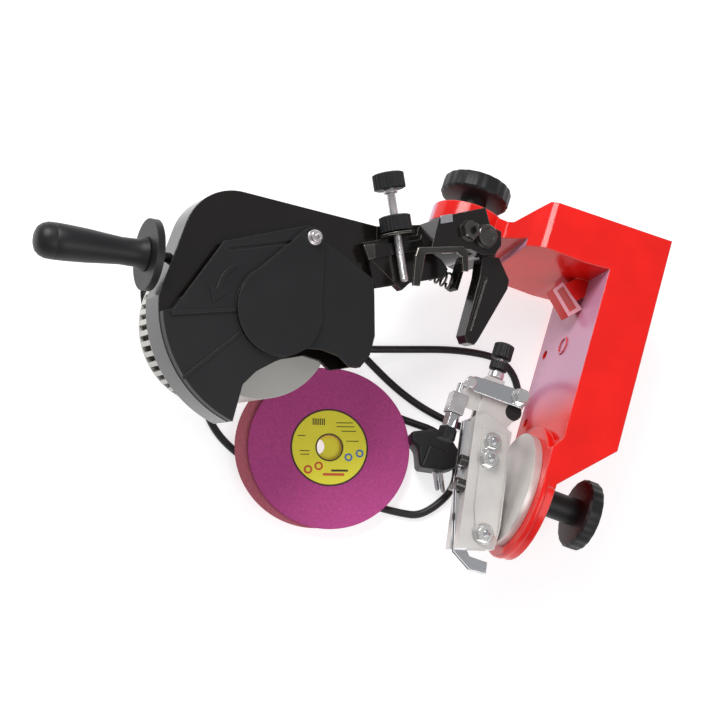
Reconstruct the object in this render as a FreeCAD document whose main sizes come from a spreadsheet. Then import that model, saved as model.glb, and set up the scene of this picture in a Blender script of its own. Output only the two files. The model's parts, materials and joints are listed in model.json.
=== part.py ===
"""Bench grinder for saw chains: cast bracket, swinging motor head, chain vise and loose wheels.

The machine lies on its side.  Two frames share one origin on the tilt axis:
the bracket frame (x towards the bench plate, y towards the rear, z sideways)
and the head frame, which is tilted further about y.  Lengths are in millimetres.
"""
import FreeCAD, Part
import Sketcher
import math
import os
from FreeCAD import Placement, Rotation, Vector

doc = FreeCAD.newDocument("chain_grinder")
sheet = doc.addObject("Spreadsheet::Sheet", "dims")

SIZES = {
    # attitude of the machine as it lies on its side, in degrees
    "base_lean": 7.0, "head_lean": 15.5,
    # cast bracket
    "base_width": 118.0, "base_wall": 5.0, "bench_reach": 161.0, "throat_reach": 112.0,
    "column_front": 6.0, "column_rear": 56.0, "base_front": -141.0, "tilt_x": -7.0,
    "tongue_thickness": 12.0, "tilt_boss_radius": 33.0, "tilt_boss_front": 12.0,
    "tilt_boss_length": 17.0, "arm_rear": 28.0, "arm_root": 46.0,
    "bench_hole_radius": 4.5, "bench_hole_spacing": 68.0, "bench_hole_rear": -50.0,
    "bench_hole_drop": 44.0, "bench_boss_radius": 12.0, "stud_radius": 5.0, "stud_clearance": 0.05,
    # round hand knobs
    "knob_radius": 31.0, "knob_height": 14.0, "knob_lobe_radius": 5.0, "knob_lobes": 12.0,
    "knob_hub_radius": 12.0, "tilt_hub_length": 21.0, "vise_hub_length": 42.0, "washer_thickness": 2.0,
    "washer_radius": 15.0,
    # tilt bracket and swing hinge
    "flange_radius": 33.0, "knuckle_half": 35.0, "flange_thickness": 14.0, "flange_gap": 0.3, "pivot_x": -10.0,
    "pivot_radius": 6.0, "pivot_clearance": 0.04, "knuckle_radius": 16.0, "ear_thickness": 7.0,
    "ear_gap": 0.3, "post_floor": 22.0, "spring_radius": 6.5, "spring_wire": 2.2, "spring_pitch": 6.0,
    "spring_height": 8.0,
    # head casting and guard
    "spindle_x": -158.0, "spindle_y": -133.0, "guard_radius": 97.5, "guard_side": 93.5, "guard_back": -16.0,
    "guard_front": 12.0, "guard_wall": 3.0, "cover_thickness": 8.0, "cover_boss_radius": 37.0,
    "cover_boss_height": 4.0, "cover_skin": 2.5, "cover_bolt_radius": 3.0, "cover_gap": 0.3,
    "guard_cavity": 84.0,
    # motor
    "motor_radius": 68.0, "motor_back": -126.0, "motor_wall": 3.0, "cap_length": 34.0,
    "cap_chamfer": 10.0, "vent_count": 46.0, "vent_width": 4.8, "vent_length": 20.0,
    "stator_length": 46.0, "rotor_radius": 30.0, "air_gap": 0.5, "shaft_radius": 7.5,
    "bearing_radius": 17.5, "bearing_width": 11.0, "fan_radius": 52.0,
    # spindle and wheels
    "seat_radius": 11.1, "seat_length": 6.0, "clamp_flange_radius": 30.0, "thread_radius": 6.0,
    "wheel_radius": 72.5, "wheel_bore": 11.2, "thin_wheel": 3.2, "thick_wheel": 4.5,
    "label_radius": 34.0, "label_thickness": 0.2,
    # handle
    "grip_length": 86.0, "grip_end_radius": 14.0, "grip_neck_radius": 10.5,
    "handle_flange_radius": 28.0, "handle_flange_thickness": 6.0, "handle_stud_radius": 4.0,
    # depth screw
    "depth_rod_radius": 3.6, "depth_knob_radius": 13.5, "depth_knob_height": 14.0,
    # vise
    "vise_y": -190.0, "turntable_radius": 50.0, "turntable_thickness": 7.0, "table_gap": 0.2,
    "vise_half": 16.0, "jaw_thickness": 2.6, "slot_half": 4.3, "plate_thickness": 2.0,
    "vise_pin_radius": 4.0, "hinge_back": 35.0, "hinge_down": 48.0,
    # mains cord
    "cord_diameter": 7.0, "gland_radius": 8.0, "coil_radius": 38.0,
    "plug_radius": 18.5, "pin_radius": 2.4,
}
for row, (name, number) in enumerate(SIZES.items(), 1):
    sheet.set("A%d" % row, name)
    sheet.set("B%d" % row, str(number))
    sheet.setAlias("B%d" % row, name)
doc.recompute()


class Size:
    """A number that remembers the sheet expression it comes from."""

    def __init__(self, number, text):
        self.number = number
        self.text = text

    def join(self, other, sign, number):
        text = other.text if isinstance(other, Size) else repr(float(other))
        return Size(number, "(%s %s %s)" % (self.text, sign, text))

    def __add__(self, other):
        return self.join(other, "+", self.number + plain(other))

    def __sub__(self, other):
        return self.join(other, "-", self.number - plain(other))

    def __mul__(self, other):
        return self.join(other, "*", self.number * plain(other))

    def __truediv__(self, other):
        return self.join(other, "/", self.number / plain(other))

    def __rsub__(self, other):
        return Size(float(other) - self.number, "(%r - %s)" % (float(other), self.text))

    def __neg__(self):
        return Size(-self.number, "(0 - %s)" % self.text)


def plain(size):
    return size.number if isinstance(size, Size) else float(size)


class Sheet:
    """Gives each sheet cell as a Size, by its alias."""

    def __getattr__(self, name):
        return Size(float(sheet.get(name)), "dims." + name)


D = Sheet()
TONGUE = D.throat_reach + D.base_wall         # rear face of the tongue that carries the vise
NODES = []          # finished pieces, in the order they were made
LOOSE = []          # the pieces on the free cord, left out of the overall size
TILT_AXIS = Vector(0, 1, 0)


def turn_about(axis, degrees):
    return Placement(Vector(0, 0, 0), Rotation(axis, degrees))


def axis_height():
    """Height of the tilt axis when the bracket's bench edge and side lie on the surface."""
    lean = math.radians(plain(D.base_lean))
    return plain(D.bench_reach) * math.sin(lean) + plain(D.base_width) / 2 * math.cos(lean)


LIFT = Placement(Vector(0, 0, axis_height()), Rotation())
BASE = LIFT.multiply(turn_about(TILT_AXIS, plain(D.base_lean)))
HEAD = LIFT.multiply(turn_about(TILT_AXIS, plain(D.base_lean + D.head_lean)))
FLOOR = Placement()
VISE_DRAWN_AT = Vector(117, -190, 0)            # tongue face and turntable axis in the vise's outlines
VISE = BASE.multiply(Placement(Vector(plain(TONGUE), plain(D.vise_y), 0).sub(VISE_DRAWN_AT), Rotation()))


def bind(feature, attribute, size):
    """Sets a feature's size, tied to the sheet where it comes from there."""
    setattr(feature, attribute, plain(size))
    if isinstance(size, Size):
        feature.setExpression(attribute, size.text)


def point(x, y, z):
    return Vector(plain(x), plain(y), plain(z))


TURNS = {"z": Rotation(), "x": Rotation(Vector(0, 1, 0), 90), "y": Rotation(Vector(1, 0, 0), -90),
         "-z": Rotation(Vector(1, 0, 0), 180), "-x": Rotation(Vector(0, 1, 0), -90),
         "-y": Rotation(Vector(1, 0, 0), 90)}


def put(feature, x, y, z, axis="z"):
    """Moves a feature to a point, with its own z along the named axis or rotation."""
    turn = TURNS[axis] if isinstance(axis, str) else axis
    feature.Placement = Placement(point(x, y, z), turn).multiply(feature.Placement)
    return feature


def rod(radius, length, x=0, y=0, z=0, axis="z"):
    feature = doc.addObject("Part::Cylinder", "rod")
    bind(feature, "Radius", radius)
    bind(feature, "Height", length)
    return put(feature, x, y, z, axis)


def cone(radius1, radius2, length, x=0, y=0, z=0, axis="z"):
    feature = doc.addObject("Part::Cone", "cone")
    bind(feature, "Radius1", radius1)
    bind(feature, "Radius2", radius2)
    bind(feature, "Height", length)
    return put(feature, x, y, z, axis)


def hexagon(radius, length, x=0, y=0, z=0, axis="z"):
    feature = doc.addObject("Part::Prism", "hexagon")
    feature.Polygon = 6
    bind(feature, "Circumradius", radius)
    bind(feature, "Height", length)
    return put(feature, x, y, z, axis)


def block(x0, x1, y0, y1, z0, z1):
    feature = doc.addObject("Part::Box", "block")
    bind(feature, "Length", as_size(x1) - x0)
    bind(feature, "Width", as_size(y1) - y0)
    bind(feature, "Height", as_size(z1) - z0)
    return put(feature, x0, y0, z0)


def as_size(number):
    return number if isinstance(number, Size) else Size(float(number), repr(float(number)))


def join(*features):
    fuse = doc.addObject("Part::MultiFuse", "join")
    fuse.Shapes = list(features)
    return fuse


def common(*features):
    both = doc.addObject("Part::MultiCommon", "common")
    both.Shapes = list(features)
    return both


def cut(base, *tools):
    feature = doc.addObject("Part::Cut", "cut")
    feature.Base = base
    feature.Tool = tools[0] if len(tools) == 1 else join(*tools)
    return feature


def group(*features):
    """Several separate solids that make one node."""
    compound = doc.addObject("Part::Compound", "group")
    compound.Links = list(features)
    return compound


def origin_plane(body, role):
    return next(plane for plane in body.Origin.OriginFeatures if plane.Role == role)


def draw(body, corners, role, offset=0):
    """A closed outline of straight runs in a body's sketch, each corner tied to the sheet."""
    sketch = body.newObject("Sketcher::SketchObject", body.Name + "_outline")
    sketch.AttachmentSupport = [(origin_plane(body, role), "")]
    sketch.MapMode = "FlatFace"
    sketch.AttachmentOffset = Placement(Vector(0, 0, plain(offset)), Rotation())
    if isinstance(offset, Size):
        sketch.setExpression(".AttachmentOffset.Base.z", offset.text)
    spots = [Vector(plain(x), plain(y), 0) for x, y in corners]
    count = len(spots)
    for i in range(count):
        sketch.addGeometry(Part.LineSegment(spots[i], spots[(i + 1) % count]), False)
    for i in range(count):
        sketch.addConstraint(Sketcher.Constraint("Coincident", i, 2, (i + 1) % count, 1))
    for i, corner in enumerate(corners):
        for kind, size in zip(("DistanceX", "DistanceY"), corner):
            number = sketch.addConstraint(Sketcher.Constraint(kind, -1, 1, i, 1, plain(size)))
            if isinstance(size, Size):
                sketch.setExpression("Constraints[%d]" % number, size.text)
    return sketch


def slab(corners, bottom, top, fillets=()):
    """A padded outline; fillets lists (corner number, radius) for its upright edges."""
    body = doc.addObject("PartDesign::Body", "slab")
    pad = body.newObject("PartDesign::Pad", "pad")
    pad.Profile = draw(body, corners, "XY_Plane", bottom)
    bind(pad, "Length", as_size(top) - bottom)
    for number, radius in fillets:
        doc.recompute()
        x, y = (plain(size) for size in corners[number])
        tip = body.Tip
        edges = ["Edge%d" % (i + 1) for i, edge in enumerate(tip.Shape.Edges)
                 if all(math.hypot(v.X - x, v.Y - y) < 0.01 for v in edge.Vertexes)]
        rounding = body.newObject("PartDesign::Fillet", "rounding")
        rounding.Base = (tip, edges)
        bind(rounding, "Radius", radius)
        body.Tip = rounding
    return body


def turned(profile):
    """A lathe piece: (radius, height) corners turned about z."""
    body = doc.addObject("PartDesign::Body", "turned")
    sketch = draw(body, profile, "XZ_Plane")
    spin = body.newObject("PartDesign::Revolution", "spin")
    spin.Profile = sketch
    spin.ReferenceAxis = (sketch, ["V_Axis"])
    spin.Angle = 360
    return body


def shape(name, solid):
    feature = doc.addObject("Part::Feature", name)
    feature.Shape = solid
    return feature


def node(name, feature, frame):
    """Names a finished piece and sets it in its frame."""
    feature.Label = name
    feature.Placement = frame.multiply(feature.Placement)
    NODES.append(feature)
    return feature


def rounded_path(points):
    """Straight runs joined by tangent arcs, each as large as its two runs allow."""
    edges = []
    radii = []
    start = points[0]
    for before, corner, after in zip(points, points[1:], points[2:]):
        back = before - corner
        ahead = after - corner
        run = min(back.Length, ahead.Length)
        half_turn = (math.pi - back.getAngle(ahead)) / 2
        reach = 0.45 * run
        radii.append(reach / math.tan(half_turn))
        back.normalize()
        ahead.normalize()
        entry = corner + back * reach
        leave = corner + ahead * reach
        bisector = back + ahead
        bisector.normalize()
        sag = radii[-1] / math.cos(half_turn) - radii[-1]
        edges.append(Part.LineSegment(start, entry).toShape())
        edges.append(Part.Arc(entry, corner + bisector * sag, leave).toShape())
        start = leave
    edges.append(Part.LineSegment(start, points[-1]).toShape())
    return Part.Wire(edges), radii




def rings(count, radius, make):
    """Copies of a tool set evenly round z; make(x, y, degrees) gives each one."""
    tools = []
    for i in range(int(plain(count))):
        degrees = 360.0 * i / plain(count)
        turn = math.radians(degrees)
        tools.append(make(plain(radius) * math.cos(turn), plain(radius) * math.sin(turn), degrees))
    return tools


def washer(outer, inner, thickness):
    return cut(rod(outer, thickness), rod(inner, thickness))


# ---------------------------------------------------------------- cast bracket
def base_casting():
    half = D.base_width / 2
    wall = D.base_wall
    tongue_face = TONGUE - D.tongue_thickness
    boss_x = D.tilt_x
    outline = [
        (boss_x - 9, D.column_front - 3), (D.throat_reach - 23, D.column_front),
        (D.throat_reach, D.column_front + 3), (D.throat_reach, D.base_front - 6),
        (tongue_face, D.base_front - 16), (tongue_face, D.vise_y), (TONGUE, D.vise_y),
        (TONGUE, D.vise_y + 4), (D.bench_reach, D.base_front), (D.bench_reach, D.column_rear),
        (D.arm_root, D.column_rear - 8), (26, D.arm_rear), (boss_x - 9, D.arm_rear)]
    body = slab(outline, -half, half)
    inner = [
        (D.arm_root + 10, D.column_front + wall), (D.throat_reach - 23, D.column_front + wall),
        (TONGUE, D.column_front + wall + 4), (TONGUE, D.vise_y - 80),
        (D.bench_reach + 1, D.vise_y - 80), (D.bench_reach + 1, D.column_rear - wall),
        (D.arm_root + 10, D.column_rear - wall - 8)]
    hollow = slab(inner, wall - half, half - wall)
    trims = [block(-60, 37.5, -10, D.tilt_boss_front, -80, 80)]
    flare = [(-60, 27), (22, 27), (28, 34), (38, 48), (48, 57), (54, 60), (54, 90), (-60, 90)]
    for side in (1, -1):
        trims.append(put(slab([(x, side * z) for x, z in flare], -10, 80), 0, 70, 0, "-y"))
    tongue = rod(half - 0.6, D.tongue_thickness, tongue_face, D.vise_y, 0, "x")
    boss = rod(D.tilt_boss_radius, D.tilt_boss_length, boss_x, D.tilt_boss_front, 0, "y")
    lug = cut(block(-13, 13, -9, 9, -10, 10), block(-9, 9, -10, 10, -6, 6))
    put(lug, D.throat_reach - 6, D.column_front - 6, 8, Rotation(Vector(0, 0, 1), 45))
    parts = [cut(body, hollow, *trims), tongue, boss, lug]
    holes = [rod(D.stud_radius + D.stud_clearance, 60, boss_x, 0, 0, "y"),
             rod(D.stud_radius + D.stud_clearance, 30, TONGUE - 20, D.vise_y, 0, "x")]
    deep = D.bench_reach - D.throat_reach
    for step in (0, -1):
        spot = (D.bench_hole_rear + D.bench_hole_spacing * step, -D.bench_hole_drop, "x")
        parts.append(rod(D.bench_boss_radius, deep, D.throat_reach, *spot))
        holes.append(rod(D.bench_hole_radius, deep + 10, D.throat_reach - 5, *spot))
    node("base_casting", cut(join(*parts), *holes), BASE)


def hand_knob(name, hub_length, x, y, z, axis):
    """A lobed clamp knob: hub, disc and a ring of lobes, with a blind stud bore."""
    height = D.knob_height
    ring = D.knob_radius - D.knob_lobe_radius
    disc = rod(ring + D.knob_lobe_radius - 1.2, height, 0, 0, hub_length)
    hub = rod(D.knob_hub_radius, hub_length + 1)
    lobes = rings(D.knob_lobes, ring, lambda a, b, turn: rod(D.knob_lobe_radius, height, a, b, hub_length))
    bore = rod(D.stud_radius + D.stud_clearance, hub_length + height - 4)
    node(name, put(cut(join(disc, hub, *lobes), bore), x, y, z, axis), BASE)


def clamp_knobs():
    boss_rear = D.tilt_boss_front + D.tilt_boss_length
    bore = D.stud_radius + D.stud_clearance
    thick = D.washer_thickness
    node("tilt_washer", put(washer(D.washer_radius, bore, thick), D.tilt_x, boss_rear, 0, "y"), BASE)
    hand_knob("tilt_knob", D.tilt_hub_length, D.tilt_x, boss_rear + thick, 0, "y")
    ring = put(washer(D.washer_radius, bore, thick), TONGUE, D.vise_y, 0, "x")
    node("vise_washer", ring, BASE)
    hand_knob("vise_knob", D.vise_hub_length, TONGUE + thick, D.vise_y, 0, "x")


# ---------------------------------------------------------------- tilt bracket and hinge
def tilt_centre():
    """The tilt axis in the head's frame."""
    spot = turn_about(TILT_AXIS, -plain(D.head_lean)).multVec(Vector(plain(D.tilt_x), 0, 0))
    return spot.x, spot.z


def tilt_bracket():
    rear = D.tilt_boss_front - D.flange_gap
    x, z = tilt_centre()
    flange = rod(D.flange_radius, D.flange_thickness, x, rear - D.flange_thickness, z, "y")
    half = D.knuckle_half
    knuckle = common(rod(D.knuckle_radius, half * 2, D.pivot_x, 0, -half),
                     block(-40, 20, -20, rear, -half, half))
    neck = block(D.pivot_x, 14, -12, rear, -26, 26)
    spring_ear = block(-8, -4, -44, -12, 2, 14)
    bore = rod(D.pivot_radius, half * 2 + 4, D.pivot_x, 0, -half - 2)
    stud_end = D.tilt_boss_front + D.tilt_boss_length + D.washer_thickness + D.tilt_hub_length + 8
    stud = rod(D.stud_radius, stud_end - 8, x, 8, z, "y")
    node("tilt_bracket", cut(join(flange, knuckle, neck, spring_ear, stud), bore), HEAD)
    post = slab([(1, -32), (-2, -15.9), (6, -10), (14, -8), (30, -22), (31, -30), (17, -85), (15, -90),
                 (8, -91), (3, -86)], D.post_floor, half)
    clear = [rod(D.knuckle_radius, half * 3, D.pivot_x, 0, -half), block(-30, 14, -12, 30, -26, 26),
             rod(D.flange_radius, D.flange_thickness + 30, x, rear - D.flange_thickness, z, "y")]
    slit = block(5, 8, -80, -30, half - 1.5, half + 5)
    node("front_post", cut(post, slit, *clear), HEAD)
    ear_top = half + D.ear_gap + D.ear_thickness
    shank = rod(D.pivot_radius, ear_top * 2 + 12, D.pivot_x, 0, -ear_top - 8)
    node("pivot_bolt", join(shank, rod(9.5, 4, D.pivot_x, 0, ear_top + 0.2)), HEAD)
    nut = cut(hexagon(10, 7), rod(D.pivot_radius, 7))
    node("pivot_nut", put(nut, D.pivot_x, 0, -ear_top - 7.2), HEAD)


def swing_arm():
    """Two ears on the pivot bolt, a web beside the hinge and the channel out to the guard."""
    low = D.knuckle_half + D.ear_gap
    high = low + D.ear_thickness
    ear = [(-58, -6), (-47, 3), (-39, 9), (-18, 24), (-8, 11), (4, 11.5), (8, 0), (4, -11), (-6, -16),
           (-20, -17), (-38, -25.8), (-56, -34.5)]
    bars = [slab(ear, low, high), slab(ear, -high, -low)]
    web = slab([(-58, -6), (-47, 3), (-40, -6), (-40, -25.8), (-56, -34.5)], -high, high)
    channel = slab([(-96, -26), (-58, -6), (-52, -20), (-56, -34.5), (-83.5, -62)], -14, 12)
    plate = slab([(-107, -48), (-90, -36.5), (-54, -14.6), (-48, -28), (-48, -50), (-59, -70), (-94, -59)],
                 12, 20)
    tab = block(-52, -48, -44, -31, 2, 14)
    bore = rod(D.pivot_radius + D.pivot_clearance, high * 3, D.pivot_x, 0, -high)
    under = rod(D.pivot_radius + D.pivot_clearance, high * 3, D.pivot_x, 0, -high * 2)
    guard_side = slab(GUARD_CORNERS, -40, 40)
    cover_side = slab([(-160, -50), (-140, -50), (-138, -57), (-86, -70), (-81, -80), (-70, -116),
                       (-100, -140)], 0, 40)
    arm = cut(join(web, channel, tab, *bars), bore, under, guard_side)
    node("swing_arm", join(arm, cut(plate, cover_side)), HEAD)
    stop = slab([(-69, -47), (-69, -39), (-40, -24.5), (-29, -19), (-23, -21), (-17, -37), (-22, -39),
                 (-27, -28), (-33, -27), (-61, -41), (-57, -69), (-63, -71)], high, high + 2.5)
    node("stop_bracket", stop, HEAD)
    node("arm_screw", join(hexagon(8, 6, -27, -3, high), rod(3, 9, -27, -3, high)), HEAD)


def return_spring():
    """A coil spring between the arm's tab and the tilt bracket's ear."""
    length = 40.0
    helix = Part.makeHelix(plain(D.spring_pitch), length - 4, plain(D.spring_radius))
    wire = Part.Wire(helix.Edges)
    start = Part.makeCircle(plain(D.spring_wire) / 2, Vector(plain(D.spring_radius), 0, 0), Vector(0, 1, 0))
    coil = wire.makePipeShell([Part.Wire(start)], True, True)
    spring = shape("return_spring", coil)
    put(spring, -46, -38, D.spring_height, "x")
    node("return_spring", spring, HEAD)


# ---------------------------------------------------------------- wheel guard and its cover
COVER_BOLT = (-151, -65.5)
GUARD_CORNERS = [
    (-251.5, -240), (-251.5, -62), (-96, -26), (-83.5, -62), (-72, -117), (-70, -134),
    (-75, -146), (-84, -151), (-95, -147), (-111, -149), (-129, -160), (-145.5, -174), (-160, -189),
    (-167, -204), (-163, -240)]
COVER_CORNERS = [
    (-251, -240), (-251, -176), (-239, -167), (-220, -101), (-158, -57), (-145, -56), (-141.5, -63), (-87, -73),
    (-82, -85), (-70, -117), (-69, -134), (-74, -147), (-84, -150), (-95, -146), (-111, -147), (-122, -150.5),
    (-134, -159), (-145.5, -171), (-159, -186), (-166, -200), (-163, -240)]


def guard_block(bottom, top):
    """The guard's body: straight sides above the spindle and a round belly below it."""
    x, y = D.spindle_x, D.spindle_y
    radius = D.guard_radius
    side = x - D.guard_side
    upper = slab([(side, y), (side, -62), (-96, -26), (0, -26), (0, y)], bottom, top, [(1, 46)])
    round_part = join(upper, rod(radius, top - bottom, x, y, bottom))
    return common(slab(GUARD_CORNERS, bottom, top), round_part)


def wheel_guard():
    x, y = D.spindle_x, D.spindle_y
    box = guard_block(D.guard_back, D.guard_front)
    skin = 2
    cavity = rod(D.guard_cavity, D.guard_front - D.guard_back - D.guard_wall - skin, x, y,
                 D.guard_back + D.guard_wall)
    mouth = common(slab([(-228, -162), (-212, -104), (-156, -72), (-140, -72), (-95, -82), (-81, -117),
                         (-78, -160), (-158, -260), (-240, -220)], D.guard_front - 5, D.guard_front + 5),
                   rod(D.guard_cavity, 40, x, y, D.guard_back + D.guard_wall))
    shaft_hole = rod(D.shaft_radius + 2, 20, x, y, D.guard_back - 2)
    bolt_hole = rod(D.cover_bolt_radius + 0.05, 10, *COVER_BOLT, D.guard_front - 5)
    stud_hole = put(rod(D.handle_stud_radius, 40, 0, 0, -20), *HANDLE_SPOT, handle_turn())
    node("wheel_guard", cut(box, cavity, mouth, shaft_hole, bolt_hole, stud_hole), HEAD)


def guard_cover():
    low = D.guard_front + D.cover_gap
    high = low + D.cover_thickness
    top = high + D.cover_boss_height
    x, y = D.spindle_x, D.spindle_y
    plate = common(slab(COVER_CORNERS, low, high), join(rod(D.guard_radius - 0.5, 40, x, y, 0),
                                                        block(-240, 0, y, 0, 0, 40)))
    boss = rod(D.cover_boss_radius, D.cover_thickness + D.cover_boss_height, x, y, low)
    teardrop = slab([(-190, -117), (-160, -62), (-156, -58), (-147.5, -57), (-143, -61.5), (-122, -126),
                     (-158, -133)], low + 1, top)
    room = cut(rod(D.guard_cavity - 3, D.cover_thickness - D.cover_skin, x, y, low),
               rod(7, 40, *COVER_BOLT, 0))
    nut_room = rod(D.cover_boss_radius - 4, D.cover_thickness + D.cover_boss_height - D.cover_skin, x, y, low)
    bolt_hole = rod(D.cover_bolt_radius + 0.05, 40, *COVER_BOLT, 0)
    groove = slab([(-213, -106), (-215, -104), (-167, -75), (-165, -77)], high - 1.2, high + 1)
    node("guard_cover", cut(join(plate, boss, teardrop), room, nut_room, bolt_hole, groove), HEAD)
    bolt = join(rod(D.cover_bolt_radius, top - D.guard_front + 2, *COVER_BOLT, D.guard_front - 2),
                rod(6.5, 1.2, *COVER_BOLT, top), hexagon(5.4, 4, *COVER_BOLT, top))
    node("cover_bolt", bolt, HEAD)


# ---------------------------------------------------------------- motor
def motor():
    x, y = D.spindle_x, D.spindle_y
    cap_front = D.motor_back + D.cap_length
    front = D.guard_back
    outer = rod(D.motor_radius, front - cap_front, x, y, cap_front)
    inner = rod(D.motor_radius - D.motor_wall, front - cap_front - 4, x, y, cap_front)
    hub = rod(D.bearing_radius + 4, 16, x, y, front - 16)
    seat = rod(D.bearing_radius, 30, x, y, front - 27)
    gland_seat = rod(D.gland_radius - 2, 30, x + 50, -110, -82, "x")
    node("motor_housing", cut(join(cut(outer, inner), hub), seat, gland_seat), HEAD)

    chamfer = D.cap_chamfer
    wall = D.motor_wall
    length = D.cap_length
    radius = D.motor_radius
    shell = turned([(0, 0), (radius - chamfer, 0), (radius, chamfer), (radius, length),
                    (radius - wall, length), (radius - wall, chamfer + 1), (radius - chamfer - 1, wall),
                    (D.bearing_radius + 4, wall), (D.bearing_radius + 4, wall + 13),
                    (D.bearing_radius, wall + 13), (D.bearing_radius, wall), (0, wall)])
    slots = rings(D.vent_count, radius - 5,
                  lambda a, b, turn: put(block(-6, 6, -D.vent_width / 2, D.vent_width / 2, 0, D.vent_length),
                                         a, b, chamfer + 2, Rotation(Vector(0, 0, 1), turn)))
    node("motor_end_cap", put(cut(shell, *slots), x, y, D.motor_back), HEAD)

    bore = D.shaft_radius + D.pivot_clearance
    node("front_bearing", put(washer(D.bearing_radius, bore, D.bearing_width), x, y, front - 13), HEAD)
    node("rear_bearing", put(washer(D.bearing_radius, bore, D.bearing_width), x, y, D.motor_back + 4), HEAD)
    core_low = cap_front + 6
    stator = cut(rod(D.motor_radius - D.motor_wall, D.stator_length),
                 rod(D.rotor_radius + D.air_gap, D.stator_length))
    node("stator", put(stator, x, y, core_low), HEAD)
    core = washer(D.rotor_radius, D.shaft_radius, D.stator_length)
    node("rotor_core", put(core, x, y, core_low), HEAD)
    node("start_capacitor", rod(6, 34, x + 42, y - 17, front - 12, "y"), HEAD)

    blades = rings(9, 34, lambda a, b, turn: put(block(-15, 15, -1, 1, 0, 6), a, b, 3,
                                                 Rotation(Vector(0, 0, 1), turn + 20)))
    fan = cut(join(rod(D.fan_radius, 3), rod(14, 8), *blades), rod(D.shaft_radius, 10))
    node("cooling_fan", put(fan, x, y, D.motor_back + 22), HEAD)
    shaft_low = D.motor_back + 4.5
    shaft = join(rod(D.shaft_radius, -shaft_low - 2, 0, 0, shaft_low), rod(D.thread_radius, 21, 0, 0, -2))
    node("motor_shaft", put(shaft, x, y, 0), HEAD)

    flange = cut(join(rod(D.clamp_flange_radius, 4), rod(D.seat_radius, D.seat_length, 0, 0, 4)),
                 rod(D.thread_radius, 20))
    node("inner_flange", put(flange, x, y, -2), HEAD)
    outer_flange = washer(D.clamp_flange_radius, D.thread_radius + 0.05, 3)
    node("outer_flange", put(outer_flange, x, y, D.seat_length + 2.1), HEAD)
    nut = cut(hexagon(10, 6), rod(D.thread_radius + 0.05, 6))
    node("spindle_nut", put(nut, x, y, D.seat_length + 5.1), HEAD)


def switch_and_gland():
    x, y = D.spindle_x, D.spindle_y
    box = cut(block(-206, -168, -86, -50, -78, -38), rod(D.motor_radius, 80, x, y, -100))
    pocket = block(-200, -174, -61, -48, -68, -48)
    pin_hole = rod(D.pivot_clearance + 1.5, 26, -187, -55, -71)
    node("switch_box", cut(box, pocket, pin_hole), HEAD)
    rocker = slab([(-198.5, -57), (-187, -52.5), (-175.5, -49), (-175.5, -57.8), (-198.5, -57.8)], -67.5, -48.5)
    node("switch_rocker", join(rocker, rod(1.5, 25, -187, -55, -70.5)), HEAD)
    gland = cut(rod(D.gland_radius, 16, 0, 0, -2), rod(D.cord_diameter / 2 + 0.2, 40, 0, 0, -10))
    tube = cut(put(gland, x + 66, -110, -82, "x"), rod(D.motor_radius, 80, x, y, -140))
    node("cable_gland", tube, HEAD)


# ---------------------------------------------------------------- handle
HANDLE_SPOT = (-263.5, -130.5, 0)               # centre of the flange's inner face


def handle_turn():
    """Points z outwards along the grip."""
    return Rotation(Vector(0, 0, 1), Vector(-0.955, -0.298, 0))


def handle():
    thick = D.handle_flange_thickness
    flange = washer(D.handle_flange_radius, D.handle_stud_radius, thick)
    neck, end = D.grip_neck_radius, D.grip_end_radius
    length = D.grip_length
    profile = [(0, 0), (neck + 3, 0), (neck, 8), (neck, 20), (neck + 2, 42), (end, length - 16),
               (end, length - 6), (end - 3, length - 1), (end - 8, length), (0, length)]
    grip = cut(turned(profile), rod(D.handle_stud_radius, 40, 0, 0, -1))
    grip.Placement = Placement(Vector(0, 0, plain(thick)), Rotation())
    flange = join(flange, rod(D.handle_stud_radius, thick + 39 + 16, 0, 0, -16))
    for name, feature in (("handle_flange", flange), ("handle_grip", grip)):
        node(name, put(feature, *HANDLE_SPOT, handle_turn()), HEAD)


# ---------------------------------------------------------------- depth screw
def depth_screw():
    axis = Rotation(Vector(0, 0, 1), Vector(-0.505, 0.863, 0))
    tip = (-62, -64.5, 26)
    clear = D.pivot_clearance
    foot = slab([(-64.9, -47.7), (-75.3, -53.7), (-83.4, -39.9), (-73, -33.9)], 20, 26)
    sleeve = put(rod(6, 16, 0, 0, 16), *tip, axis)
    bore = put(rod(D.depth_rod_radius + clear, 40), *tip, axis)
    node("depth_holder", cut(join(sleeve, foot), bore), HEAD)
    nut = cut(knurled_disc(), rod(D.depth_rod_radius + clear, 40))
    nut.Placement = Placement(Vector(0, 0, 42), Rotation())
    node("depth_lock_nut", put(nut, *tip, axis), HEAD)
    knob = knurled_disc()
    knob.Placement = Placement(Vector(0, 0, 78), Rotation())
    node("depth_screw", put(join(rod(D.depth_rod_radius, 82), knob), *tip, axis), HEAD)


def knurled_disc():
    grip = D.depth_knob_radius - 1
    ribs = rings(16, grip, lambda a, b, turn: rod(1.4, D.depth_knob_height, a, b, 0))
    return join(rod(grip, D.depth_knob_height), *ribs)


# ---------------------------------------------------------------- vise
def turntable():
    front = TONGUE - D.tongue_thickness - D.table_gap - D.turntable_thickness
    disc = rod(D.turntable_radius, D.turntable_thickness, front, D.vise_y, 0, "x")
    hinge_x = TONGUE - D.hinge_back
    hinge_y = D.vise_y - D.hinge_down
    lug = join(block(hinge_x, front + 1, hinge_y - 8, hinge_y + 8, -5, 5), rod(8, 10, hinge_x, hinge_y, -5))
    pin_hole = rod(D.vise_pin_radius + D.pivot_clearance, 20, hinge_x, hinge_y, -10)
    end = TONGUE + D.washer_thickness + D.vise_hub_length + 6
    stud = rod(D.stud_radius, end - front, front, D.vise_y, 0, "x")
    node("turntable", cut(join(disc, lug, stud), pin_hole), BASE)


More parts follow.
